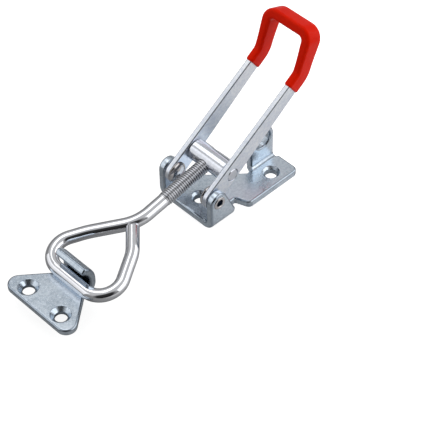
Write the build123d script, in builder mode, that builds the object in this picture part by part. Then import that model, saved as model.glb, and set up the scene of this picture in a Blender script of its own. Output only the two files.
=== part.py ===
from build123d import *
import os
from math import asin, cos, degrees, radians, sin, tan

os.makedirs("parts", exist_ok=True)

# Over centre toggle latch: a folded base with two ears, a U-shaped lever with a vinyl grip, a cross-tapped
# trunnion barrel, a threaded rod that ends in a triangular wire loop, and a catch plate with a hooked tongue.
# Millimetres and degrees. z = 0 is the mounting face, x = 0 is under the lever's pivot, y = 0 is the middle
# of the rod, +X points at the lever's grip and -X at the catch.

# --- base: folded sheet ---------------------------------------------------------------------------
sheet = 2.8                  # thickness of the base
bend_inside = 1.2            # inside radius of every fold in the base
channel_width = 25.0         # over the outer faces of the two ears
pivot_height = 11.2          # lever pivot above the mounting face
ear_nose_radius = 3.5        # round top of an ear, about the pivot
ear_root_rear = 7.1          # x where the back edge of an ear meets the fold
wing_side = 13.34            # outer edge of the tail, from the middle
wing_shoulder = 12.75        # x where the tail's slanted front edge would meet its outer edge
wing_neck = (10.9, 8.3)      # x and distance from the middle where that slanted edge starts
wing_corner_radius = 2.0     # rounded corners of the tail
tail_rear = 35.4             # x of the tail's back edge
far_corner_x = 9.4           # where the floor's slanted far edge starts
relief_radius = 1.65         # round relief in front of the lug's fold
relief_overlap = 0.4         # the relief reaches this far past the lug's front edge
relief_y = -1.35             # middle of the relief
neck_round = 0.8             # inside corner between ear and tail

# --- lug for a padlock, folded up from the tail ---------------------------------------------------
lug_near_y = -2.65           # its face on the -Y side
lug_middle_x = 29.3
lug_half = 5.2               # half width, and radius of its round top
lug_eye_height = 12.5        # middle of the padlock eye above the mounting face
lug_eye = 6.8                # diameter of the eye

# --- screw holes ----------------------------------------------------------------------------------
screw_hole = 4.1             # diameter, for a 4 mm countersunk screw
base_sink = 5.9              # countersink diameter in the base
catch_sink = 6.8             # countersink diameter in the catch plate
sink_angle = 90
floor_hole_x = 3.15
wing_hole = (27.7, 8.1)      # x and distance from the middle

# --- pivot rivets ---------------------------------------------------------------------------------
rivet_shank = 4.5            # diameter
rivet_head = 7.2             # diameter of the domed head, inside the lever
rivet_head_height = 1.5
rivet_tail_bore = 2.5        # diameter of the hollow tail
rivet_tail_depth = 2.2
rivet_tail_rise = 0.15       # the rolled tail stands this proud of the ear
rivet_rim_chamfer = 0.3

# --- lever ----------------------------------------------------------------------------------------
strip = 2.0                  # thickness of the lever's strip
arm_angle = 35.07            # of the arms above the mounting face
arm_half_eye = 3.85          # half width of an arm at its pivot
arm_half_crank = 2.5         # half width of an arm at its crank, and of the legs and the crossbar
arm_offset = 0.66            # the arm's centre line runs this far below the pivot
crank_distance = 48.37       # pivot to crank, along the arm
crank_turn = 34.5            # the legs turn up by this angle
leg_length = 15.62           # crank to the outer face of the crossbar
crank_radius_inner = 4.0
crank_radius_outer = 8.0
crossbar_bend_inside = 2.2   # inside radius where a leg turns into the crossbar

# --- grip -----------------------------------------------------------------------------------------
grip_wall = 0.52
grip_bar_wall = 0.8          # round the crossbar, where the dipped vinyl gathers
grip_edge_chamfer = 0.75
grip_start = 42.7            # distance along the arm from the pivot to the end of the sleeve

# --- trunnion barrel ------------------------------------------------------------------------------
barrel_diameter = 7.5
barrel_reach = 9.79          # pivot to barrel axis
barrel_lag = 8.27            # the barrel lies this many degrees behind the arm's direction
spigot_diameter = 4.4
spigot_inset = 0.03          # the peened ends lie this far below the arms' outer faces
barrel_chamfer = 0.3         # on the barrel's rims and on the spigots' ends

# --- hook rod -------------------------------------------------------------------------------------
wire = 4.46                  # diameter of the plain wire
thread = 4.95                # outside diameter of the M5 thread
rod_tail = 2.8               # the rod reaches this far behind the barrel axis
rod_side = 0.5               # the rod's middle line lies this far off the latch's middle, on the +Y side
thread_end = 21.5            # the thread ends this far in front of the barrel axis
thread_lead = 0.4            # chamfer on the thread's free end
bar_reach = 61.1             # barrel axis to the loop's front bar
far_limb_root = 28.6         # front bar back to where the rod bends into the far limb
far_limb_knee = (15.4, 9.9)  # where the far limb bows out: back from the bar, and from the middle line
near_limb_root = 26.2        # front bar back to where the near limb is welded on
near_limb_knee = (19.3, 7.4)
bar_corner_half = 18.7       # half width of the loop where its limbs would meet the front bar
loop_corner_radius = 6.95
far_knee_radius = 30.0
near_knee_radius = 14.0
apex_radius = 14.0

# --- catch plate ----------------------------------------------------------------------------------
catch_sheet = 2.5
catch_middle = 1.55          # y of the plate's middle line
catch_length = 14.85         # front edge to the middle of the loop's bar
catch_front_half = 18.7      # half width where the slanted sides would meet the front edge
catch_corner_radius = 3.5
catch_side_angle = 39.0      # slant of the sides
tongue_half = 6.6
hook_gap = 0.65              # between the loop's bar and the hook behind it
hook_bend_inside = 2.2
hook_rise = 8.5              # height where the hook starts to lean over the bar
hook_lean = 53               # degrees from upright
hook_lip = 3.7               # length of the leaning lip
hook_lean_radius = 5.0
catch_hole_back = 10.4       # screw holes to the middle of the bar, along X
catch_hole_spacing = 15.5

# --- fits -----------------------------------------------------------------------------------------
side_play = 0.1              # lever to ear, and rivet head to lever, each side
barrel_play = 0.15           # barrel shoulder to lever, each side
pin_play = 0.05              # radial, on every turning pin
thread_play = 0.04           # radial, rod in barrel
seat_gap = 0.05              # loop's bar above the catch plate

# --- worked out -----------------------------------------------------------------------------------
bend_outside = bend_inside + sheet
ear_outer = channel_width / 2
ear_inner = ear_outer - sheet
arm_outer = ear_inner - side_play
arm_inner = arm_outer - strip
ear_fold_y = ear_outer - bend_outside
lug_fold_y = lug_near_y - bend_inside
lug_front = lug_middle_x - lug_half
lug_rear = lug_middle_x + lug_half
ear_length = ear_root_rear + ear_nose_radius

pivot = Vector(0, 0, pivot_height)
arm_plane = Plane(origin=pivot, x_dir=(cos(radians(arm_angle)), 0, sin(radians(arm_angle))), z_dir=(0, -1, 0))
barrel_angle = arm_angle - barrel_lag
barrel_axis = pivot + Vector(cos(radians(barrel_angle)), 0, sin(radians(barrel_angle))) * barrel_reach

bar_height = catch_sheet + seat_gap + wire / 2
rod_slope = degrees(asin((barrel_axis.Z - bar_height) / bar_reach))
forward = Vector(-cos(radians(rod_slope)), 0, -sin(radians(rod_slope)))
rod_root = barrel_axis + Vector(0, rod_side, 0)
# In the rod's plane X runs from the barrel towards the catch and Y points to the near side.
rod_normal = Vector(-sin(radians(rod_slope)), 0, cos(radians(rod_slope)))
rod_plane = Plane(origin=rod_root, x_dir=forward, z_dir=rod_normal)
bar_x = (barrel_axis + forward * bar_reach).X
tongue_start = bar_x - catch_length + (catch_front_half - tongue_half) / tan(radians(catch_side_angle))

# --- base plate -----------------------------------------------------------------------------------
with BuildPart() as base_plate:
    # the two ears and the floor between them, as one folded channel
    with BuildSketch(Plane.YZ.offset(-ear_nose_radius)):
        with BuildLine():
            FilletPolyline(
                (ear_outer, pivot_height + ear_nose_radius),
                (ear_outer, 0),
                (-ear_outer, 0),
                (-ear_outer, pivot_height + ear_nose_radius),
                radius=bend_outside,
            )
            offset(amount=sheet, side=Side.RIGHT)
        make_face()
    extrude(amount=ear_length)
    # the ears' outline: round over the pivot, slanting back to the fold
    with BuildSketch(Plane.XZ):
        with Locations((0, pivot_height)):
            Circle(ear_nose_radius)
        with Locations((-ear_nose_radius, 0)):
            Rectangle(ear_length, bend_outside, align=(Align.MIN, Align.MIN))
        make_hull(mode=Mode.REPLACE)
    extrude(amount=channel_width, both=True, mode=Mode.INTERSECT)
    # the floor and the tail
    with BuildSketch() as blank:
        with BuildLine():
            Polyline(
                (-ear_nose_radius, -ear_fold_y),
                (ear_root_rear, -ear_fold_y),
                (wing_neck[0], -wing_neck[1]),
                (wing_shoulder, -wing_side),
                (tail_rear, -wing_side),
                (tail_rear, lug_fold_y),
                (lug_front, lug_fold_y),
                (lug_front, ear_fold_y),
                (-ear_nose_radius, ear_fold_y),
                close=True,
            )
        make_face()
        fillet(blank.vertices().group_by(Axis.Y)[0], radius=wing_corner_radius)
        fillet(blank.vertices().sort_by_distance((wing_neck[0], -wing_neck[1]))[0], radius=neck_round)
    extrude(amount=sheet)
    # the far side slants in to a round relief beside the lug's fold
    with BuildSketch() as far_cut:
        with Locations((lug_front + relief_overlap - relief_radius, relief_y)):
            Circle(relief_radius)
        with BuildLine():
            Line((far_corner_x, ear_fold_y), (lug_front, ear_fold_y))
        make_hull(mode=Mode.REPLACE)
    extrude(amount=sheet, mode=Mode.SUBTRACT)
    # the padlock lug, folded up from the tail
    with BuildSketch(Plane.YZ.offset(lug_front)):
        with BuildLine():
            FilletPolyline(
                (lug_fold_y - bend_outside, 0),
                (lug_near_y + sheet, 0),
                (lug_near_y + sheet, lug_eye_height + lug_half),
                radius=bend_outside,
            )
            offset(amount=sheet, side=Side.LEFT)
        make_face()
    extrude(amount=2 * lug_half)
    with BuildSketch(Plane.XZ.offset(-lug_near_y)):
        with Locations((lug_middle_x, lug_eye_height)):
            Rectangle(2 * lug_half, lug_half, align=(Align.CENTER, Align.MIN))
            Circle(lug_half, mode=Mode.SUBTRACT)
            Circle(lug_eye / 2)
    extrude(amount=-sheet, mode=Mode.SUBTRACT)
    # rivet holes, and the countersunk screw holes
    with Locations(Plane(origin=pivot, z_dir=(0, -1, 0))):
        Hole(rivet_shank / 2)
    with Locations((floor_hole_x, 0, sheet), (wing_hole[0], -wing_hole[1], sheet)):
        CounterSinkHole(screw_hole / 2, base_sink / 2, counter_sink_angle=sink_angle)
base_plate.part.label = "base_plate"
export_step(base_plate.part, "parts/base_plate.step")

# --- pivot rivets ---------------------------------------------------------------------------------
head_y = -arm_inner + side_play
tail_y = -ear_outer - rivet_tail_rise
with BuildPart() as pivot_rivet_near:
    with BuildSketch(Plane.XY.offset(pivot_height)):
        with BuildLine():
            TangentArc((0, head_y + rivet_head_height), (rivet_head / 2, head_y), tangent=(1, 0))
            Polyline(
                (rivet_head / 2, head_y),
                (rivet_shank / 2, head_y),
                (rivet_shank / 2, tail_y),
                (rivet_tail_bore / 2, tail_y),
                (rivet_tail_bore / 2, tail_y + rivet_tail_depth),
                (0, tail_y + rivet_tail_depth + rivet_tail_bore / 4),
                (0, head_y + rivet_head_height),
            )
        make_face()
    revolve(axis=Axis((0, 0, pivot_height), (0, 1, 0)))
    # the tail's rolled rim
    tail_rim = pivot_rivet_near.edges().filter_by(GeomType.CIRCLE).group_by(Axis.Y)[0]
    chamfer(tail_rim, length=rivet_rim_chamfer)
pivot_rivet_near.part.label = "pivot_rivet_near"
export_step(pivot_rivet_near.part, "parts/pivot_rivet_near.step")

with BuildPart() as pivot_rivet_far:
    mirror(pivot_rivet_near.part, about=Plane.XZ)
pivot_rivet_far.part.label = "pivot_rivet_far"
export_step(pivot_rivet_far.part, "parts/pivot_rivet_far.step")

# --- lever frame: two cranked arms and the crossbar between their legs, one strip -----------------
crank = Vector(crank_distance, -arm_offset)
leg_direction = Vector(1, 0).rotate(Axis.Z, crank_turn)
leg_side = Vector(0, 1).rotate(Axis.Z, crank_turn)
leg_end = crank + leg_direction * leg_length
# the edges of arm and leg meet on the line that halves the crank's angle
miter = Vector(-tan(radians(crank_turn / 2)), 1)
lever_corner = miter * arm_half_crank
barrel_in_arm = Vector(barrel_reach, 0).rotate(Axis.Z, -barrel_lag)
# square on to the crossbar: X across the latch, Y along the legs, origin at the crank
leg_angle = radians(arm_angle + crank_turn)
leg_plane = Plane(
    origin=arm_plane.from_local_coords(crank),
    x_dir=(0, 1, 0),
    z_dir=(sin(leg_angle), 0, -cos(leg_angle)),
)

with BuildPart() as handle_frame:
    with BuildSketch(arm_plane) as lever_side:
        with BuildLine():
            Polyline(
                (0, -arm_offset + arm_half_eye),
                crank + lever_corner,
                leg_end + leg_side * arm_half_crank,
                leg_end - leg_side * arm_half_crank,
                crank - lever_corner,
                (0, -arm_offset - arm_half_eye),
                close=True,
            )
        make_face()
        with Locations((0, -arm_offset)):
            Circle(arm_half_eye)
        fillet(lever_side.vertices().sort_by_distance(crank + lever_corner)[0], radius=crank_radius_inner)
        fillet(lever_side.vertices().sort_by_distance(crank - lever_corner)[0], radius=crank_radius_outer)
    extrude(amount=arm_outer, both=True)
    # the crossbar is the strip bent round from leg to leg: round outer corners and a round-cornered throat
    with BuildSketch(leg_plane) as lever_front:
        with Locations((0, leg_length)):
            RectangleRounded(
                2 * arm_outer,
                2 * crank_distance,
                crossbar_bend_inside + strip,
                align=(Align.CENTER, Align.MAX),
            )
        with Locations((0, leg_length - strip)):
            RectangleRounded(
                2 * arm_inner,
                3 * crank_distance,
                crossbar_bend_inside,
                align=(Align.CENTER, Align.MAX),
                mode=Mode.SUBTRACT,
            )
    extrude(amount=crank_distance, both=True, mode=Mode.INTERSECT)
    # pivot and trunnion holes through both arms
    with Locations(arm_plane):
        Hole(rivet_shank / 2 + pin_play)
    with Locations(arm_plane.offset(0).shift_origin(arm_plane.from_local_coords(barrel_in_arm))):
        Hole(spigot_diameter / 2 + pin_play)
handle_frame.part.label = "handle_frame"
export_step(handle_frame.part, "parts/handle_frame.step")

# --- vinyl sleeve over the crank, the legs and the crossbar ---------------------------------------
grip_half = arm_half_crank + grip_wall
grip_half_bar = arm_half_crank + grip_bar_wall
grip_corner = miter * grip_half
throat_top = leg_length - strip - grip_bar_wall
grip_end = crank + leg_direction * (leg_length + grip_bar_wall)
with BuildPart() as handle_grip:
    with BuildSketch(arm_plane) as grip_side:
        with BuildLine():
            Polyline(
                (grip_start, -arm_offset + grip_half),
                crank + grip_corner,
                grip_end + leg_side * grip_half_bar,
                grip_end - leg_side * grip_half_bar,
                crank - grip_corner,
                (grip_start, -arm_offset - grip_half),
                close=True,
            )
        make_face()
        upper_corner = grip_side.vertices().sort_by_distance(crank + grip_corner)[0]
        fillet(upper_corner, radius=crank_radius_inner - grip_wall)
        lower_corner = grip_side.vertices().sort_by_distance(crank - grip_corner)[0]
        fillet(lower_corner, radius=crank_radius_outer + grip_wall)
    extrude(amount=arm_outer + grip_wall, both=True)
    with BuildSketch(leg_plane):
        with Locations((0, leg_length + grip_bar_wall)):
            RectangleRounded(
                2 * (arm_outer + grip_wall),
                2 * crank_distance,
                crossbar_bend_inside + strip + grip_bar_wall,
                align=(Align.CENTER, Align.MAX),
            )
        with Locations((0, throat_top)):
            RectangleRounded(
                2 * (arm_inner - grip_wall),
                3 * crank_distance,
                crossbar_bend_inside - grip_wall,
                align=(Align.CENTER, Align.MAX),
                mode=Mode.SUBTRACT,
            )
    extrude(amount=crank_distance, both=True, mode=Mode.INTERSECT)
    # the long edges all round, apart from the ends and the seams between smooth faces
    along = handle_grip.edges().filter_by(Axis((0, 0, 0), leg_plane.z_dir), reverse=True)
    crossing = (along | Axis.Y).filter_by(lambda edge: edge.length < 2 * (strip + grip_wall))
    ends = along.filter_by(lambda edge: arm_plane.to_local_coords(edge @ 0.5).X < grip_start + 0.01)
    chamfer([edge for edge in along if edge not in crossing + ends], length=grip_edge_chamfer)
    # the strip fills the sleeve
    add(handle_frame.part, mode=Mode.SUBTRACT)
handle_grip.part.label = "handle_grip"
export_step(handle_grip.part, "parts/handle_grip.step")

# --- trunnion barrel ------------------------------------------------------------------------------
shoulder = arm_inner - barrel_play
spigot_end = arm_outer - spigot_inset
with BuildPart() as trunnion_barrel:
    with BuildSketch(Plane(origin=barrel_axis, x_dir=(1, 0, 0), z_dir=(0, 0, 1))):
        with BuildLine():
            Polyline(
                (0, -spigot_end),
                (spigot_diameter / 2, -spigot_end),
                (spigot_diameter / 2, -shoulder),
                (barrel_diameter / 2, -shoulder),
                (barrel_diameter / 2, shoulder),
                (spigot_diameter / 2, shoulder),
                (spigot_diameter / 2, spigot_end),
                (0, spigot_end),
                close=True,
            )
        make_face()
    revolve(axis=Axis(barrel_axis, (0, 1, 0)))
    circles = trunnion_barrel.edges().filter_by(GeomType.CIRCLE)
    spigot_rims = circles.group_by(Axis.Y)[0] + circles.group_by(Axis.Y)[-1]
    barrel_rims = circles.group_by(lambda edge: edge.radius)[-1]
    chamfer(spigot_rims + barrel_rims, length=barrel_chamfer)
    with Locations(Plane(origin=rod_root, z_dir=forward)):
        Hole(thread / 2 + thread_play)
trunnion_barrel.part.label = "trunnion_barrel"
export_step(trunnion_barrel.part, "parts/trunnion_barrel.step")

# --- hook rod: thread, plain wire and welded loop -------------------------------------------------
with BuildPart() as hook_rod:
    with BuildLine(rod_plane):
        FilletPolyline(
            (-rod_tail + thread_lead, 0),
            (bar_reach - far_limb_root, 0),
            (bar_reach - far_limb_knee[0], -far_limb_knee[1]),
            (bar_reach, -bar_corner_half),
            (bar_reach, bar_corner_half),
            (bar_reach - near_limb_knee[0], near_limb_knee[1]),
            (bar_reach - near_limb_root, 0),
            radius=[apex_radius, far_knee_radius, loop_corner_radius, loop_corner_radius, near_knee_radius],
        )
    with BuildSketch(Plane(origin=rod_plane.from_local_coords((-rod_tail + thread_lead, 0)), z_dir=forward)):
        Circle(wire / 2)
    sweep()
    # the thread stands a little proud of the wire that it is rolled on, and both its ends are chamfered
    thread_rise = (thread - wire) / 2
    with BuildSketch(rod_plane):
        with BuildLine():
            Polyline(
                (-rod_tail, 0),
                (-rod_tail, thread / 2 - thread_lead),
                (-rod_tail + thread_lead, thread / 2),
                (thread_end - thread_rise, thread / 2),
                (thread_end, wire / 2),
                (thread_end, 0),
                close=True,
            )
        make_face()
    revolve(axis=Axis(rod_root, forward))
hook_rod.part.label = "hook_rod"
export_step(hook_rod.part, "parts/hook_rod.step")

# --- catch plate ----------------------------------------------------------------------------------
hook_face = bar_x + wire / 2 + hook_gap
catch_front = bar_x - catch_length
lean_end = Vector(0, 1).rotate(Axis.Z, hook_lean) * hook_lip
with BuildPart() as catch_plate:
    # the plate, a round-cornered trapezium
    with BuildSketch() as catch_plan:
        with BuildLine():
            Polyline(
                (catch_front, catch_middle - catch_front_half),
                (tongue_start, catch_middle - tongue_half),
                (tongue_start, catch_middle + tongue_half),
                (catch_front, catch_middle + catch_front_half),
                close=True,
            )
        make_face()
        fillet(catch_plan.vertices().group_by(Axis.X)[0], radius=catch_corner_radius)
    extrude(amount=catch_sheet)
    # the tongue goes on from it, turns up behind the loop's bar and leans over it
    with BuildSketch(Plane.XZ.offset(-catch_middle)):
        with BuildLine():
            FilletPolyline(
                (catch_front, catch_sheet),
                (hook_face, catch_sheet),
                (hook_face, hook_rise),
                (hook_face + lean_end.X, hook_rise + lean_end.Y),
                radius=[hook_bend_inside, hook_lean_radius],
            )
            offset(amount=catch_sheet, side=Side.RIGHT)
        make_face()
    extrude(amount=tongue_half, both=True)
    with Locations(
        (bar_x - catch_hole_back, catch_middle - catch_hole_spacing / 2, catch_sheet),
        (bar_x - catch_hole_back, catch_middle + catch_hole_spacing / 2, catch_sheet),
    ):
        CounterSinkHole(screw_hole / 2, catch_sink / 2, counter_sink_angle=sink_angle)
catch_plate.part.label = "catch_plate"
export_step(catch_plate.part, "parts/catch_plate.step")
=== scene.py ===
from math import cos, pi, radians, sin, tan

import bmesh
import bpy
from mathutils import Matrix, Quaternion, Vector


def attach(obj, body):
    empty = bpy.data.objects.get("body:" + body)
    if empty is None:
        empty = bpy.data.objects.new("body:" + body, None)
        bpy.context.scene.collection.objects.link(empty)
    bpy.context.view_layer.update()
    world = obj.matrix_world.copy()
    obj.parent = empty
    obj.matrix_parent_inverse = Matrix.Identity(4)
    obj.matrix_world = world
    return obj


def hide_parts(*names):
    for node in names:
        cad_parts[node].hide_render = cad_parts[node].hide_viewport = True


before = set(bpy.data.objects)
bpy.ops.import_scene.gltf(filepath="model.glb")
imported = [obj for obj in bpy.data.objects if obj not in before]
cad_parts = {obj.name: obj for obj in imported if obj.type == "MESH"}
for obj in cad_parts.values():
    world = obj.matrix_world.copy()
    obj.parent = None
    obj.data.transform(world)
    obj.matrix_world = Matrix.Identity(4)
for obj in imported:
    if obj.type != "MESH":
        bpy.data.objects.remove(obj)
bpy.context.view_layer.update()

MM = 0.001

# Over centre toggle latch: folded base, U-shaped lever with a dipped vinyl grip, cross-tapped barrel,
# threaded rod ending in a welded wire loop, and a hooked catch plate. The sheet and strip pieces keep the
# forms of their solids, with their edges rounded here. The rod with its rolled thread, the rivets and the
# grip are made here in full, and the barrel is the solid itself.

# --- sizes that these pieces share with the solids, in millimetres ---------------------------------------
pivot = Vector((0, 0, 11.2))
arm_angle, crank_turn = radians(35.07), radians(34.5)
arm_offset = 0.66
crank_distance = 48.37
leg_length = 15.62
strip = 2.0
arm_outer = 9.6
ear_outer = 12.5
barrel_axis = (8.738, 0, 15.614)
base_screw_holes = [(3.15, 0, 0), (27.7, -8.1, 0)]
catch_screw_holes = [(-61.793, -6.2, 0), (-61.793, 9.3, 0)]
lug_relief = (24.1, -2.5, 1.4)
UPRIGHT, CROSSWISE = (0, 0, 1), (0, 1, 0)

rod_slope = radians(10.2145)
rod_root = Vector((8.7376, 0.5, 15.6136))
rod_forward = Vector((-cos(rod_slope), 0, -sin(rod_slope)))
rod_up = Vector((-sin(rod_slope), 0, cos(rod_slope)))
NEAR = Vector((0, -1, 0))


# --- camera ----------------------------------------------------------------------------------------------
def look_at_latch(azimuth, elevation, roll, distance, aim, lens):
    """A camera at that azimuth, counted from -Y towards +X, and that elevation from the point it aims at.
    Angles are in degrees, the distance and the aim in metres and the lens in millimetres."""
    turn, rise, lean = radians(azimuth), radians(elevation), radians(roll)
    towards_camera = Vector((sin(turn) * cos(rise), -cos(turn) * cos(rise), sin(rise)))
    level_right = Vector((cos(turn), sin(turn), 0))
    level_up = towards_camera.cross(level_right)
    right = level_right * cos(lean) + level_up * sin(lean)
    up = level_up * cos(lean) - level_right * sin(lean)
    camera = bpy.data.objects.new("camera", bpy.data.cameras.new("camera"))
    camera.data.lens = lens
    camera.data.sensor_width = 36
    camera.data.clip_start = 0.01
    camera.data.clip_end = 20
    camera.matrix_world = Matrix.Translation(aim + towards_camera * distance) @ Matrix(
        (right, up, towards_camera)
    ).transposed().to_4x4()
    bpy.context.scene.collection.objects.link(camera)
    bpy.context.scene.camera = camera


look_at_latch(
    azimuth=-43.647, elevation=46.375, roll=-0.674, distance=0.55897,
    aim=Vector((2.148, -10.291, 0)) * MM, lens=141.02,
)


# --- finishes --------------------------------------------------------------------------------------------
def new_group(name, inputs, outputs):
    """An empty shader node group with those sockets, its input node and its output node."""
    group = bpy.data.node_groups.new(name, "ShaderNodeTree")
    for socket, kind in inputs:
        group.interface.new_socket(socket, in_out="INPUT", socket_type=kind)
    for socket, kind in outputs:
        group.interface.new_socket(socket, in_out="OUTPUT", socket_type=kind)
    return group, group.nodes.new("NodeGroupInput"), group.nodes.new("NodeGroupOutput")


def add_node(tree, kind, settings=(), **inputs):
    """A node with its settings, its inputs, by name or as _number, set to a value or linked to a socket."""
    node = tree.nodes.new(kind)
    for setting, value in dict(settings).items():
        setattr(node, setting, value)
    for socket, value in inputs.items():
        target = node.inputs[int(socket[1:])] if socket[0] == "_" else node.inputs[socket.replace("_", " ")]
        if isinstance(value, bpy.types.NodeSocket):
            tree.links.new(value, target)
        else:
            target.default_value = value
    return node


def map_range(tree, value, start, end, low=0.0, high=1.0, smooth=False):
    """From low, where a value is at the start or short of it, to high, where it is at the end or past it."""
    kind = "SMOOTHSTEP" if smooth else "LINEAR"
    return add_node(
        tree, "ShaderNodeMapRange", {"interpolation_type": kind},
        Value=value, _1=start, _2=end, _3=low, _4=high,
    ).outputs[0]


def multiply(tree, first, second):
    """The product of two numbers."""
    return add_node(tree, "ShaderNodeMath", {"operation": "MULTIPLY"}, _0=first, _1=second).outputs[0]


def mix_numbers(tree, share, first, second):
    """The first number where the share is 0 and the second where it is 1."""
    return add_node(tree, "ShaderNodeMix", {"data_type": "FLOAT"}, _0=share, _2=first, _3=second).outputs[0]


def mix_colours(tree, share, first, second):
    """The first colour where the share is 0 and the second where it is 1."""
    return add_node(tree, "ShaderNodeMix", {"data_type": "RGBA"}, _0=share, _6=first, _7=second).outputs[2]


def make_plated_group():
    """Cloudy tint, uneven roughness and fine waviness, which every plated or polished metal shares."""
    group, given, result = new_group(
        "plated_surface",
        [("Light", "NodeSocketColor"), ("Dark", "NodeSocketColor"), ("Rough Low", "NodeSocketFloat"),
         ("Rough High", "NodeSocketFloat"), ("Mottle", "NodeSocketFloat"), ("Waviness", "NodeSocketFloat"),
         ("Grain", "NodeSocketFloat")],
        [("Color", "NodeSocketColor"), ("Roughness", "NodeSocketFloat"), ("Normal", "NodeSocketVector")],
    )
    place = add_node(group, "ShaderNodeTexCoord").outputs["Object"]
    clouds = add_node(group, "ShaderNodeTexNoise", Vector=place, Scale=90, Detail=4, Roughness=0.6)
    grain = add_node(group, "ShaderNodeTexNoise", Vector=place, Scale=2600, Detail=3, Roughness=0.7)
    flecks = add_node(group, "ShaderNodeTexNoise", Vector=place, Scale=1100, Detail=3, Roughness=0.65)
    cloud_tint = map_range(group, clouds.outputs["Fac"], start=0.38, end=0.64)
    fleck_tint = map_range(group, flecks.outputs["Fac"], start=0.40, end=0.60)
    tint = mix_numbers(group, given.outputs["Mottle"], cloud_tint, fleck_tint)
    colour = mix_colours(group, tint, given.outputs["Dark"], given.outputs["Light"])
    roughness = map_range(
        group, clouds.outputs["Fac"], start=0.3, end=0.7,
        low=given.outputs["Rough Low"], high=given.outputs["Rough High"],
    )
    waves = add_node(group, "ShaderNodeTexNoise", Vector=place, Scale=260, Detail=2)
    wavy = add_node(
        group, "ShaderNodeBump", Strength=given.outputs["Waviness"], Distance=0.0002,
        Height=waves.outputs["Fac"],
    )
    grainy = add_node(
        group, "ShaderNodeBump", Strength=given.outputs["Grain"], Distance=0.00003,
        Height=grain.outputs["Fac"], Normal=wavy.outputs["Normal"],
    )
    group.links.new(colour, result.inputs["Color"])
    group.links.new(roughness, result.inputs["Roughness"])
    group.links.new(grainy.outputs["Normal"], result.inputs["Normal"])
    return group


def make_edge_group():
    """Painted shade: a darker tint where a mesh is marked "rounding", on its edges or in a bore, and its own
    roughness there.
    """
    group, given, result = new_group(
        "edge_painted_shade",
        [("Color", "NodeSocketColor"), ("Roughness", "NodeSocketFloat"), ("Edge Shade", "NodeSocketFloat"),
         ("Edge Roughness", "NodeSocketFloat")],
        [("Color", "NodeSocketColor"), ("Roughness", "NodeSocketFloat")],
    )
    # the colour of the painted shade on rounded edges and in bores
    painted_edge_shade = (0.10, 0.13, 0.18, 1)
    rounding = add_node(group, "ShaderNodeAttribute", {"attribute_name": "rounding"}).outputs["Fac"]
    darker = multiply(group, rounding, given.outputs["Edge Shade"])
    colour = mix_colours(group, darker, given.outputs["Color"], painted_edge_shade)
    roughness = mix_numbers(group, rounding, given.outputs["Roughness"], given.outputs["Edge Roughness"])
    group.links.new(colour, result.inputs["Color"])
    group.links.new(roughness, result.inputs["Roughness"])
    return group


plated_surface = make_plated_group()
edge_painted_shade = make_edge_group()


def metal(name, light, dark, rough_low, rough_high, mottle, waviness, grain, edge_shade=0.0, edge_rough=0.1):
    """A metal between two tints and two roughnesses, with painted shade and a roughness of its own where the
    surface is marked "rounding".
    """
    material = bpy.data.materials.new(name)
    material.use_nodes = True
    tree = material.node_tree
    shader = tree.nodes["Principled BSDF"]
    shader.inputs["Metallic"].default_value = 1
    surface = add_node(
        tree, "ShaderNodeGroup", {"node_tree": plated_surface}, Light=(*light, 1), Dark=(*dark, 1),
        Rough_Low=rough_low, Rough_High=rough_high, Mottle=mottle, Waviness=waviness, Grain=grain,
    )
    edges = add_node(
        tree, "ShaderNodeGroup", {"node_tree": edge_painted_shade}, Color=surface.outputs["Color"],
        Roughness=surface.outputs["Roughness"], Edge_Shade=edge_shade, Edge_Roughness=edge_rough,
    )
    tree.links.new(edges.outputs["Color"], shader.inputs["Base Color"])
    tree.links.new(edges.outputs["Roughness"], shader.inputs["Roughness"])
    tree.links.new(surface.outputs["Normal"], shader.inputs["Normal"])
    return material


def make_vinyl():
    """Dipped red vinyl: even colour that deepens in soft clouds, and a skin with a faint orange peel."""
    material = bpy.data.materials.new("red_vinyl")
    material.use_nodes = True
    tree = material.node_tree
    shader = tree.nodes["Principled BSDF"]
    shader.inputs["Specular IOR Level"].default_value = 0.18
    shader.inputs["Specular Tint"].default_value = (1, 0.20, 0.08, 1)
    place = add_node(tree, "ShaderNodeTexCoord").outputs["Object"]
    clouds = add_node(tree, "ShaderNodeTexNoise", Vector=place, Scale=160, Detail=3)
    peel = add_node(tree, "ShaderNodeTexNoise", Vector=place, Scale=900, Detail=2)
    deep_red, bright_red = (0.78, 0.008, 0.001, 1), (0.92, 0.018, 0.002, 1)
    colour = mix_colours(tree, clouds.outputs["Fac"], deep_red, bright_red)
    roughness = map_range(tree, clouds.outputs["Fac"], start=0, end=1, low=0.26, high=0.38)
    bumps = add_node(tree, "ShaderNodeBump", Strength=0.25, Distance=0.00005, Height=peel.outputs["Fac"])
    tree.links.new(colour, shader.inputs["Base Color"])
    tree.links.new(roughness, shader.inputs["Roughness"])
    tree.links.new(bumps.outputs["Normal"], shader.inputs["Normal"])
    return material


# edge_shade is how far the rounded edges are darkened with painted shade
sheet_zinc = metal(
    "sheet_zinc", light=(0.76, 0.84, 0.92), dark=(0.50, 0.58, 0.67), rough_low=0.20, rough_high=0.34,
    mottle=0.5, waviness=0.3, grain=0.5, edge_shade=0.5, edge_rough=0.08,
)
strip_zinc = metal(
    "strip_zinc", light=(0.93, 0.96, 1.00), dark=(0.72, 0.77, 0.87), rough_low=0.30, rough_high=0.44,
    mottle=0.6, waviness=0.2, grain=0.6, edge_shade=0.2, edge_rough=0.14,
)


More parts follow.
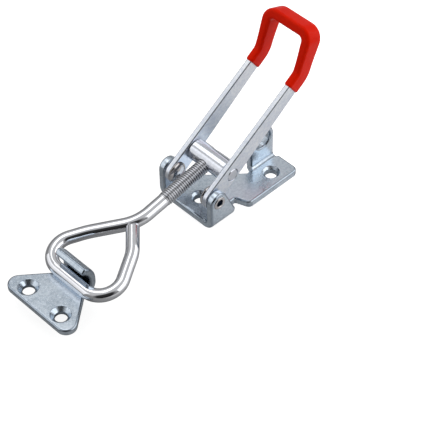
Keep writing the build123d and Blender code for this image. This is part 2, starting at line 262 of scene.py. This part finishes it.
def paint_groove_shade(material, root, forward, end, shallow, deep, reach):
    """Painted shade in a metal's thread grooves: from none at the shallow radius about the axis to the reach
    at the deep one, and only up to the thread's end."""
    # the colour of the painted shade in the grooves
    painted_groove_shade = (0.03, 0.035, 0.04, 1)
    tree = material.node_tree
    shader = tree.nodes["Principled BSDF"]
    bright = shader.inputs["Base Color"].links[0].from_socket
    place = add_node(tree, "ShaderNodeTexCoord").outputs["Object"]

    def vector_math(operation, **inputs):
        return add_node(tree, "ShaderNodeVectorMath", {"operation": operation}, **inputs).outputs

    away = vector_math("SUBTRACT", _0=place, _1=root * MM)[0]
    across = vector_math("CROSS_PRODUCT", _0=away, _1=forward)[0]
    radius = vector_math("LENGTH", _0=across)["Value"]
    along = vector_math("DOT_PRODUCT", _0=away, _1=forward)["Value"]
    depth = map_range(tree, radius, start=shallow * MM, end=deep * MM, low=0, high=reach)
    threaded = add_node(tree, "ShaderNodeMath", {"operation": "LESS_THAN"}, _0=along, _1=end * MM)
    share = multiply(tree, depth, threaded.outputs[0])
    tree.links.new(mix_colours(tree, share, bright, painted_groove_shade), shader.inputs["Base Color"])


bright_wire = metal(
    "bright_wire", light=(0.80, 0.81, 0.84), dark=(0.70, 0.71, 0.75), rough_low=0.04, rough_high=0.09,
    mottle=0.3, waviness=0.15, grain=0.1,
)
# its edge_shade of 0.97 darkens the bore of each rivet's hollow tail almost fully: painted shade
rivet_steel = metal(
    "rivet_steel", light=(0.70, 0.69, 0.70), dark=(0.46, 0.44, 0.44), rough_low=0.07, rough_high=0.16,
    mottle=0.4, waviness=0.3, grain=0.2, edge_shade=0.97, edge_rough=0.3,
)
turned_steel = metal(
    "turned_steel", light=(0.78, 0.80, 0.86), dark=(0.63, 0.66, 0.72), rough_low=0.10, rough_high=0.20,
    mottle=0.4, waviness=0.1, grain=0.2,
)
# painted shade in the grooves of the rolled thread
paint_groove_shade(bright_wire, rod_root, rod_forward, end=21.2, shallow=2.36, deep=2.10, reach=0.6)
red_vinyl = make_vinyl()


# --- sheet and strip pieces: the solids with their edges rounded -----------------------------------------
def finish_piece(mesh_object, node, body, material):
    """Give a piece its finish, and put it in place of the solid of that node, on that body."""
    mesh_object.data.materials.clear()
    mesh_object.data.materials.append(material)
    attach(mesh_object, body)
    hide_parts(node)


def apply_modifiers(piece):
    """Turn the piece's modifiers into its own mesh."""
    shaped = bpy.data.meshes.new_from_object(piece.evaluated_get(bpy.context.evaluated_depsgraph_get()))
    piece.modifiers.clear()
    piece.data = shaped


def weld_solid(node):
    """The node's solid as one skin, its flat faces in one piece each."""
    weld_reach, shortest_edge, flat_within = 2e-5, 1e-5, radians(0.6)
    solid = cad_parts[node].data
    skin = bmesh.new()
    points = [skin.verts.new(vertex.co) for vertex in solid.vertices]
    for face in solid.polygons:
        corners = [points[i] for i in face.vertices]
        if len(set(corners)) > 2:
            skin.faces.new(corners)
    bmesh.ops.remove_doubles(skin, verts=skin.verts, dist=weld_reach)
    bmesh.ops.dissolve_degenerate(skin, edges=skin.edges, dist=shortest_edge)
    bmesh.ops.dissolve_limit(skin, angle_limit=flat_within, verts=skin.verts, edges=skin.edges)
    return skin


def mark_rounding(mesh):
    """Mark with 1 the middle of each rounded edge, where the finish paints shade, falling to 0 where it meets
    a flat or a bend.
    """
    widest_strip = 0.35 * MM
    narrow = []
    for face in mesh.polygons:
        corners = [mesh.vertices[i].co for i in face.vertices]
        longest = max((a - b).length for a, b in zip(corners, corners[1:] + corners[:1]))
        narrow.append(face.area < widest_strip * longest)
    on_flats = {i for face in mesh.polygons if not narrow[face.index] for i in face.vertices}
    share = mesh.attributes.new("rounding", "FLOAT", "CORNER")
    for face in mesh.polygons:
        for corner in face.loop_indices:
            inside = narrow[face.index] and mesh.loops[corner].vertex_index not in on_flats
            share.data[corner].value = 1.0 if inside else 0.0


def round_edges(node, body, material, radius, small_radius, holes, tight_spots=(), segments=5):
    """The node's solid with its outer edges rounded, and the edges round its holes only just broken.
    Each hole is a point on its axis, the axis and a reach, in millimetres. In a tight spot, a point and a
    reach, the edges stay as they are, because there is no room to round them."""
    sharpest_bend = radians(28)
    skin = weld_solid(node)
    weights = skin.edges.layers.float.new("bevel_weight_edge")

    def middle_of(edge):
        return (edge.verts[0].co + edge.verts[1].co) / (2 * MM)

    def beside_hole(edge):
        for point, axis, reach in holes:
            away = middle_of(edge) - Vector(point)
            if (away - away.project(Vector(axis))).length < reach:
                return True
        return False

    sharp = [edge for edge in skin.edges if edge.calc_face_angle() > sharpest_bend]
    unrounded = {
        edge for edge in sharp
        if any((middle_of(edge) - Vector(spot)).length < reach for spot, reach in tight_spots)
    }
    for edge in unrounded:
        edge.smooth = False
    sharp = [edge for edge in sharp if edge not in unrounded]
    around_holes = {edge for edge in sharp if beside_hole(edge)}
    outline = [edge for edge in sharp if edge not in around_holes]
    for edge in outline:
        edge[weights] = 1
    for edge in around_holes:
        edge[weights] = small_radius / radius
    mesh = bpy.data.meshes.new(node + "_finished")
    skin.to_mesh(mesh)
    skin.free()
    mesh.shade_smooth()
    piece = bpy.data.objects.new(node + "_finished", mesh)
    bpy.context.scene.collection.objects.link(piece)
    rounding = piece.modifiers.new("rounding", "BEVEL")
    rounding.limit_method = "WEIGHT"
    rounding.width = radius * MM
    rounding.segments = segments
    rounding.use_clamp_overlap = False
    rounding.loop_slide = False
    flats = piece.modifiers.new("flats", "WEIGHTED_NORMAL")
    flats.weight = 100
    flats.keep_sharp = True
    apply_modifiers(piece)
    mark_rounding(piece.data)
    panels = piece.modifiers.new("panels", "TRIANGULATE")
    panels.ngon_method = "BEAUTY"
    panels.min_vertices = 5
    panels.keep_custom_normals = True
    apply_modifiers(piece)
    finish_piece(piece, node, body, material)
    return piece


# an edge closer than this to the axis of a hole belongs to that hole
pin_reach = 2.6
base_sink_reach = 3.4
catch_sink_reach = 3.8

round_edges(
    "base_plate", "base", sheet_zinc, radius=0.72, small_radius=0.12,
    holes=[(hole, UPRIGHT, base_sink_reach) for hole in base_screw_holes] + [(pivot, CROSSWISE, pin_reach)],
    tight_spots=[(lug_relief, 2.3)],
)
round_edges(
    "catch_plate", "catch", sheet_zinc, radius=0.72, small_radius=0.12,
    holes=[(hole, UPRIGHT, catch_sink_reach) for hole in catch_screw_holes],
)
round_edges(
    "handle_frame", "handle", strip_zinc, radius=0.42, small_radius=0.2,
    holes=[(pivot, CROSSWISE, pin_reach), (barrel_axis, CROSSWISE, pin_reach)],
)
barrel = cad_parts["trunnion_barrel"].data
barrel.materials.clear()
barrel.materials.append(turned_steel)


# --- rounded routes and tubes along them -----------------------------------------------------------------
def rounded_route(corners, radii, step):
    """Points along straight runs joined by arcs, one radius for each corner between the two ends."""
    points = [corners[0]]
    for before, corner, after, radius in zip(corners, corners[1:], corners[2:], radii):
        back, on = (before - corner).normalized(), (after - corner).normalized()
        half_turn = (pi - back.angle(on)) / 2
        reach = radius * tan(half_turn)
        middle = corner + (back + on).normalized() * (radius / cos(half_turn))
        start, end = corner + back * reach, corner + on * reach
        arc_steps = max(2, round(2 * half_turn * radius / step))
        from_middle, to_middle = start - middle, end - middle
        axis = from_middle.cross(to_middle).normalized()
        runs = max(1, round((start - points[-1]).length / step))
        last = points[-1]
        points += [last.lerp(start, i / runs) for i in range(1, runs + 1)]
        points += [
            middle + Quaternion(axis, 2 * half_turn * i / arc_steps) @ from_middle
            for i in range(1, arc_steps + 1)
        ]
    last = points[-1]
    runs = max(1, round((corners[-1] - last).length / step))
    return points + [last.lerp(corners[-1], i / runs) for i in range(1, runs + 1)]


def frames_along(points, side):
    """For each point the direction of travel and a side that turns with it and never twists."""
    travel = [(b - a).normalized() for a, b in zip(points, points[1:])]
    along = [travel[0]] + [(a + b).normalized() for a, b in zip(travel, travel[1:])] + [travel[-1]]
    sides = [side]
    for a, b in zip(along, along[1:]):
        sides.append((a.rotation_difference(b) @ sides[-1]).normalized())
    return along, sides


def skin_of(name, rows, cap_start=False, cap_end=False, closed=False):
    """A skin over rows of points, each with as many as the next, capped or joined end to end where asked."""
    mesh = bpy.data.meshes.new(name)
    skin = bmesh.new()
    rings = [[skin.verts.new(point * MM) for point in row] for row in rows]
    for ring, following in zip(rings, rings[1:] + rings[:1] if closed else rings[1:]):
        for i in range(len(ring)):
            skin.faces.new((ring[i], ring[i - 1], following[i - 1], following[i]))
    if cap_start:
        skin.faces.new(rings[0])
    if cap_end:
        skin.faces.new(reversed(rings[-1]))
    bmesh.ops.recalc_face_normals(skin, faces=skin.faces)
    skin.to_mesh(mesh)
    skin.free()
    mesh.shade_smooth()
    return mesh


def join_meshes(name, meshes):
    """One object of several meshes, its normals all pointing out."""
    whole = bmesh.new()
    for mesh in meshes:
        whole.from_mesh(mesh)
    bmesh.ops.remove_doubles(whole, verts=whole.verts, dist=1e-6)
    bmesh.ops.recalc_face_normals(whole, faces=whole.faces)
    joined = bpy.data.meshes.new(name)
    whole.to_mesh(joined)
    whole.free()
    piece = bpy.data.objects.new(name, joined)
    bpy.context.scene.collection.objects.link(piece)
    return piece


# --- hook rod: rolled thread, plain wire and the loop ----------------------------------------------------
WIRE, THREAD, THREAD_ROOT = 4.46 / 2, 4.95 / 2, 2.05     # radii
PITCH = 0.8
THREAD_START, THREAD_END = -2.8, 21.5                    # along the rod from the barrel's axis
RUN_OUT = 1.4                                            # where the thread fades into the wire
TIP_CHAMFER = 0.45
COVER = 0.01                                             # the run-out lies this far outside the wire
WIRE_LAP = 0.9                                           # the wire starts this far inside the thread


def rod_point(along, near=0):
    """A point in the rod's plane, by its distance from the barrel towards the catch and to the near side."""
    return rod_root + rod_forward * along + NEAR * near


def make_thread(start, end, around=64):
    """The rolled M5 thread, its rows climbing with the helix, with a run-out and a chamfered end."""
    depth = THREAD - THREAD_ROOT
    tip_slope = 0.9
    # how far along a pitch, and how high there, from 0 in the root to 1 on the crest
    ridge = [(0, 1), (0.14, 1), (0.18, 0.92), (0.30, 0.48), (0.42, 0.06), (0.48, 0), (0.60, 0), (0.66, 0.06),
             (0.78, 0.48), (0.90, 0.92)]
    rows = []
    first = int((start - PITCH) / PITCH) - 1
    for turn in range(first, int(end / PITCH) + 2):
        for share, height in ridge:
            row = []
            for i in range(around):
                along = (turn + share + i / around) * PITCH
                run_out = min(1, max(0, (along - (end - RUN_OUT)) / RUN_OUT))
                radius = (THREAD_ROOT + depth * height) * (1 - run_out) + (WIRE + COVER) * run_out
                along = min(max(along, start), end)
                radius = min(radius, THREAD - TIP_CHAMFER + (along - start) * tip_slope)
                turned = 2 * pi * i / around
                row.append(rod_point(along) + NEAR * (radius * cos(turned)) + rod_up * (radius * sin(turned)))
            rows.append(row)
    # a row's end meets the start of the row one turn further on
    mesh = bpy.data.meshes.new("thread")
    skin = bmesh.new()
    points = [[skin.verts.new(point * MM) for point in row] for row in rows]
    per_turn = len(ridge)
    for r in range(len(rows) - 1):
        for i in range(around):
            if i < around - 1:
                corners = (points[r][i], points[r][i + 1], points[r + 1][i + 1], points[r + 1][i])
            elif r + per_turn + 1 < len(rows):
                next_start, after_next = points[r + per_turn][0], points[r + per_turn + 1][0]
                corners = (points[r][i], next_start, after_next, points[r + 1][i])
            else:
                continue
            skin.faces.new(corners)
    bmesh.ops.remove_doubles(skin, verts=skin.verts, dist=1e-6)
    bmesh.ops.dissolve_degenerate(skin, edges=skin.edges, dist=1e-6)
    bmesh.ops.recalc_face_normals(skin, faces=skin.faces)
    skin.to_mesh(mesh)
    skin.free()
    mesh.shade_smooth()
    return mesh


def make_wire(start, around=40):
    """The plain wire from inside the thread, round by the far limb, front bar and near limb to its weld."""
    bar_reach, bar_corner_half, bar_corner_radius = 61.1, 18.68, 6.95
    root_radius, far_knee_radius, near_knee_radius = 14, 30, 14
    far_root, far_knee = rod_point(32.5), rod_point(45.7, -9.9)
    near_knee, near_root = rod_point(41.8, 7.4), rod_point(34.9)
    route = rounded_route(
        [rod_point(start), far_root, far_knee, rod_point(bar_reach, -bar_corner_half),
         rod_point(bar_reach, bar_corner_half), near_knee, near_root],
        [root_radius, far_knee_radius, bar_corner_radius, bar_corner_radius, near_knee_radius], step=0.6,
    )
    along, sides = frames_along(route, rod_up)
    rows = []
    for point, forward, side in zip(route, along, sides):
        across = forward.cross(side)
        rows.append([
            point + side * (WIRE * cos(2 * pi * i / around)) + across * (WIRE * sin(2 * pi * i / around))
            for i in range(around)
        ])
    return skin_of("wire", rows, cap_start=True, cap_end=True)


def make_disc(along, outer, around=64):
    """A flat end for the threaded part, square to the rod."""
    inner_rings = (1.0, 0.3)
    turns = [2 * pi * i / around for i in range(around)]
    rows = [
        [rod_point(along) + NEAR * (radius * cos(turned)) + rod_up * (radius * sin(turned))
         for turned in turns]
        for radius in (outer, *inner_rings)
    ]
    return skin_of("disc", rows, cap_end=True)


hook_rod = join_meshes(
    "hook_rod_finished",
    [make_thread(THREAD_START, THREAD_END), make_disc(THREAD_START, THREAD - TIP_CHAMFER),
     make_disc(THREAD_END, WIRE + COVER), make_wire(THREAD_END - WIRE_LAP)],
)
finish_piece(hook_rod, "hook_rod", "hook_rod", bright_wire)


# --- pivot rivets: a domed head inside the lever, and a hollow tail rolled over outside the ear ----------
def make_rivet(name, side, around=56):
    """A rivet on the near side (-1) or the far side (1), turned from a profile of radius and distance out.
    The bore of its hollow tail is marked "rounding", where its finish paints shade."""
    head_rim, head_face, head_height = 3.6, 7.5, 1.5
    roll_middle, roll_half, roll_rise = 1.78, 0.52, 0.34
    shank, under_roll = 2.25, 0.1
    bore_start, bore_edge = 9, 1.28
    profile = [
        (max(0.2, head_rim * sin(radians(turned))), head_face - head_height * cos(radians(turned)))
        for turned in range(0, 91, 6)
    ]
    profile += [(shank, head_face), (shank, ear_outer - under_roll)]
    profile += [
        (roll_middle + roll_half * cos(radians(turned)), ear_outer + roll_rise * sin(radians(turned)))
        for turned in range(0, 181, 15)
    ]
    # the bore of the hollow tail, down to its floor
    profile += [(1.2, 12.2), (1.15, 10.8), (0.6, 10.4), (0.2, 10.3)]
    turns = [2 * pi * i / around for i in range(around)]
    rows = [
        [pivot + Vector((radius * cos(turned), side * out, radius * sin(turned))) for turned in turns]
        for radius, out in profile
    ]
    mesh = skin_of(name, rows, cap_start=True, cap_end=True)
    # painted shade: the bore of the hollow tail is marked here for the finish to darken
    shade = mesh.attributes.new("rounding", "FLOAT", "POINT")
    for point in mesh.vertices:
        place = point.co / MM - pivot
        in_bore = abs(place.y) > bore_start and Vector((place.x, 0, place.z)).length < bore_edge
        shade.data[point.index].value = 1.0 if in_bore else 0.0
    rivet = bpy.data.objects.new(name, mesh)
    bpy.context.scene.collection.objects.link(rivet)
    return rivet


for node, side in (("pivot_rivet_near", -1), ("pivot_rivet_far", 1)):
    finish_piece(make_rivet(node + "_finished", side), node, "base", rivet_steel)


# --- grip: the dipped vinyl sleeve -----------------------------------------------------------------------
def make_grip(around=56):
    """The sleeve's skin: thicker round the crossbar, with a soft lip at each end, and hollow on the strip."""
    grip_start, crank_radius, bar_radius = 42.7, 6.0, 3.2
    outer_half, gathered, outer_corner = (3.02, 1.52), 0.28, 1.05
    inner_half, inner_corner = (2.54, 1.03), 0.3
    swell_start, swell_length, lip_length = 8, 12, 0.5
    arm = Vector((cos(arm_angle), 0, sin(arm_angle)))
    arm_side = Vector((-sin(arm_angle), 0, cos(arm_angle)))
    leg = Vector((cos(arm_angle + crank_turn), 0, sin(arm_angle + crank_turn)))
    middle = arm_outer - strip / 2
    crank = pivot + arm * crank_distance - arm_side * arm_offset
    start = pivot + arm * grip_start - arm_side * arm_offset
    top = crank + leg * (leg_length - strip / 2)
    near, far = NEAR * middle, NEAR * -middle
    route = rounded_route(
        [start + near, crank + near, top + near, top + far, crank + far, start + far],
        [crank_radius, bar_radius, bar_radius, crank_radius], step=0.35,
    )
    along, sides = frames_along(route, arm_side)
    lengths = [0]
    for a, b in zip(route, route[1:]):
        lengths.append(lengths[-1] + (b - a).length)
    total = lengths[-1]

    def section(half_wide, half_thick, radius):
        """Points round a round-cornered rectangle, evenly spread: (across the strip, through the strip)."""
        flat_wide, flat_thick = half_wide - radius, half_thick - radius
        outline = []
        for quarter, (x, y) in enumerate([(1, 1), (-1, 1), (-1, -1), (1, -1)]):
            for i in range(around // 4):
                turned = (quarter + i / (around // 4 - 1)) * pi / 2
                outline.append((x * flat_wide + radius * cos(turned), y * flat_thick + radius * sin(turned)))
        return outline

    rows = []
    for point, forward, side, gone in zip(route, along, sides, lengths):
        through = forward.cross(side)
        to_end = min(gone, total - gone)
        swell = min(1, max(0, (to_end - swell_start) / swell_length))
        swell = swell * swell * (3 - 2 * swell)
        lip = max(0, 1 - to_end / lip_length)
        half_wide, half_thick = [half + gathered * swell - gathered * lip * lip for half in outer_half]
        rows.append([
            point + side * wide + through * thick
            for wide, thick in section(half_wide, half_thick, outer_corner)
        ])
    # inside, the sleeve lies on the strip from one end to the other
    for point, forward, side in reversed(list(zip(route, along, sides))):
        through = forward.cross(side)
        rows.append([
            point + side * wide + through * thick for wide, thick in section(*inner_half, inner_corner)
        ])
    return skin_of("grip", rows, closed=True)


grip = join_meshes("handle_grip_finished", [make_grip()])
finish_piece(grip, "handle_grip", "handle", red_vinyl)


# --- studio ----------------------------------------------------------------------------------------------
def direction(azimuth, elevation):
    """A unit vector, its azimuth counted from +X towards +Y, in degrees."""
    turn, rise = radians(azimuth), radians(elevation)
    return Vector((cos(turn) * cos(rise), sin(turn) * cos(rise), sin(rise)))


def make_floor(drop=6 * MM):
    """A floor that far below the latch, clear of the catch plate, which dips 4.8 mm with the lever up.
    The camera sees it white with the shadow on it. Its colour is painted with light and shade, grey on the
    camera's left and paler on its right, which the metals mirror. From beneath it is clear."""
    paler_side, grey_until, pale_from, grey, pale = direction(-46, 0), -0.035, 0.045, 0.34, 0.85
    glow_to_camera, glow_to_metals = 0.85, 0.02
    bpy.ops.mesh.primitive_plane_add(size=8, location=(0, 0, -drop))
    floor = bpy.context.object
    floor.name = "floor"
    material = bpy.data.materials.new("floor_white")
    material.use_nodes = True
    tree = material.node_tree
    shader = tree.nodes["Principled BSDF"]
    place = add_node(tree, "ShaderNodeTexCoord").outputs["Object"]
    sideways = add_node(
        tree, "ShaderNodeVectorMath", {"operation": "DOT_PRODUCT"}, _0=place, _1=paler_side
    ).outputs["Value"]
    # painted light and shade: the floor's colour grades from grey to pale across it
    painted_floor_light = map_range(tree, sideways, start=grey_until, end=pale_from, low=grey, high=pale, smooth=True)
    tree.links.new(painted_floor_light, shader.inputs["Base Color"])
    shader.inputs["Roughness"].default_value = 1
    shader.inputs["Specular IOR Level"].default_value = 0
    shader.inputs["Emission Color"].default_value = (1, 1, 1, 1)
    path = add_node(tree, "ShaderNodeLightPath")
    glow = add_node(
        tree, "ShaderNodeMath", {"operation": "MULTIPLY_ADD"}, _0=path.outputs["Is Glossy Ray"],
        _1=glow_to_metals, _2=multiply(tree, path.outputs["Is Camera Ray"], glow_to_camera),
    ).outputs[0]
    tree.links.new(glow, shader.inputs["Emission Strength"])
    underneath = add_node(tree, "ShaderNodeNewGeometry").outputs["Backfacing"]
    clear = add_node(tree, "ShaderNodeBsdfTransparent").outputs[0]
    one_sided = add_node(tree, "ShaderNodeMixShader", _0=underneath, _1=shader.outputs[0], _2=clear)
    tree.links.new(one_sided.outputs[0], tree.nodes["Material Output"].inputs["Surface"])
    floor.data.materials.append(material)


def softbox(name, azimuth, elevation, distance, size, level):
    """A soft lamp that faces the latch, its level being how bright its front is, 1 for white."""
    lamp = bpy.data.lights.new(name, "AREA")
    lamp.shape = "RECTANGLE"
    lamp.size, lamp.size_y = size
    lamp.energy = level * pi * size[0] * size[1]
    box = bpy.data.objects.new(name, lamp)
    box.location = direction(azimuth, elevation) * distance
    box.rotation_euler = (-box.location).to_track_quat("-Z", "Y").to_euler()
    box.visible_camera = False
    bpy.context.scene.collection.objects.link(box)


def light_world():
    """A grey room for the metals to mirror, paler overhead, with a dark patch low on the camera's side.
    The camera itself sees white."""
    grey_up_to, pale_from, grey, pale = radians(12), radians(44), 0.25, 0.60
    patch_middle, patch_within, patch_faded, patch_share = direction(-133, 26), radians(24), radians(40), 0.06
    world = bpy.data.worlds.new("studio")
    world.use_nodes = True
    tree = world.node_tree
    place = add_node(tree, "ShaderNodeTexCoord").outputs["Generated"]
    height = add_node(tree, "ShaderNodeSeparateXYZ", Vector=place).outputs["Z"]
    room = map_range(
        tree, height, start=sin(grey_up_to), end=sin(pale_from), low=grey, high=pale, smooth=True
    )
    facing = add_node(
        tree, "ShaderNodeVectorMath", {"operation": "DOT_PRODUCT"}, _0=place, _1=patch_middle
    ).outputs["Value"]
    patch = map_range(
        tree, facing, start=cos(patch_faded), end=cos(patch_within), low=1.0, high=patch_share, smooth=True
    )
    path = add_node(tree, "ShaderNodeLightPath")
    level = mix_numbers(tree, path.outputs["Is Camera Ray"], multiply(tree, room, patch), 1.0)
    back = tree.nodes["Background"]
    back.inputs["Color"].default_value = (1, 1, 1, 1)
    tree.links.new(level, back.inputs["Strength"])
    bpy.context.scene.world = world


make_floor()
light_world()
softbox("lamp_top", azimuth=92, elevation=72, distance=0.9, size=(0.52, 0.52), level=1.15)
softbox("lamp_right", azimuth=-48, elevation=19, distance=0.9, size=(1.3, 1.05), level=1.1)
softbox("lamp_back_left", azimuth=135, elevation=18, distance=0.9, size=(0.95, 0.85), level=0.70)
bpy.context.scene.view_settings.view_transform = "Standard"
